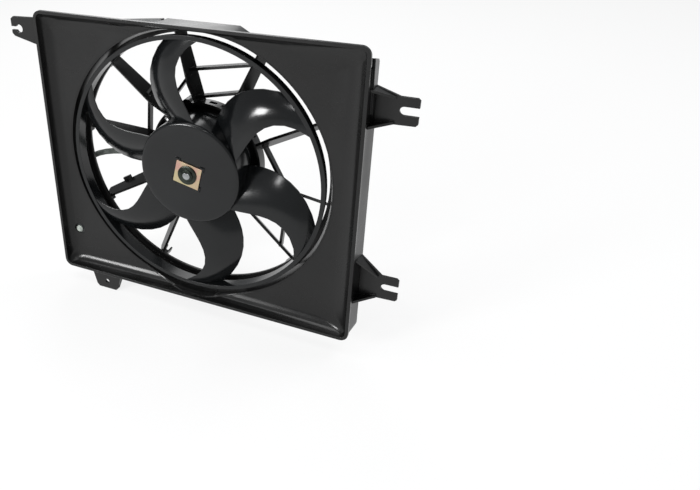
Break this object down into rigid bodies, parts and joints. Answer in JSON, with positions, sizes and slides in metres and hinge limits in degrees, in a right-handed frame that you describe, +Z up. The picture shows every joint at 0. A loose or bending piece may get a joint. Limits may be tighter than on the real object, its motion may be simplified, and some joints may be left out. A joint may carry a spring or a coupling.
{
  "type": "condenser fan",
  "caption": "Electric cooling fan for a car's air-conditioning condenser: a moulded shroud with tabs carries a flat motor and a banded fan that draws air through it.",
  "frame": {"origin": "On the fan axis, in the plane of the shroud's front rim, which faces the condenser.", "axes": "+X to the right as seen from the front, +Y to the back along the fan axis, +Z up."},
  "size_m": [0.4325, 0.066, 0.3285],
  "materials": {
    "shroud_plastic": "black glass-filled plastic, moulded",
    "fan_plastic": "black plastic, semi-gloss",
    "plated_steel": "yellow zinc-plated steel",
    "dark_steel": "black-coated steel",
    "bright_steel": "zinc-plated steel",
    "copper": "enamelled copper",
    "painted_steel": "dark grey painted steel",
    "ferrite": "dark ferrite",
    "card": "brown laminate",
    "carbon": "pressed carbon",
    "bronze": "sintered bronze",
    "rubber": "matt rubber",
    "lead_sleeve": "grey sleeve",
    "connector_plastic": "pale grey nylon"
  },
  "bodies": {
    "housing": {"shroud": "shroud_plastic", "barrel": "shroud_plastic", "upper_fork": "shroud_plastic", "lower_fork": "shroud_plastic", "keyhole_tab": "shroud_plastic", "lower_tab": "shroud_plastic", "motor_carrier": "shroud_plastic", "motor_can": "painted_steel", "rear_cover": "painted_steel", "motor_screws": "bright_steel", "field_magnets": "ferrite", "brush_card": "card", "brushes": "carbon", "brush_springs": "bright_steel", "front_bush": "bronze", "rear_bush": "bronze", "lead_grommet": "rubber", "motor_lead": "lead_sleeve", "connector_body": "connector_plastic", "connector_lock": "fan_plastic", "connector_terminals": "bright_steel", "connector_seal": "rubber", "connector_clip": "connector_plastic", "clip_washer": "shroud_plastic"},
    "rotor": {"fan_hub": "fan_plastic", "fan_blades": "fan_plastic", "fan_band": "fan_plastic", "hub_plate": "plated_steel", "shaft_nut": "dark_steel", "motor_shaft": "bright_steel", "armature_core": "bright_steel", "armature_windings": "copper", "commutator": "copper", "thrust_washers": "bright_steel"}
  },
  "joints": [
    {"name": "fan_spin", "type": "hinge", "parent": "housing", "child": "rotor", "pos_m": [0, 0.03, 0], "axis": [0, 1, 0], "continuous": true}
  ]
}
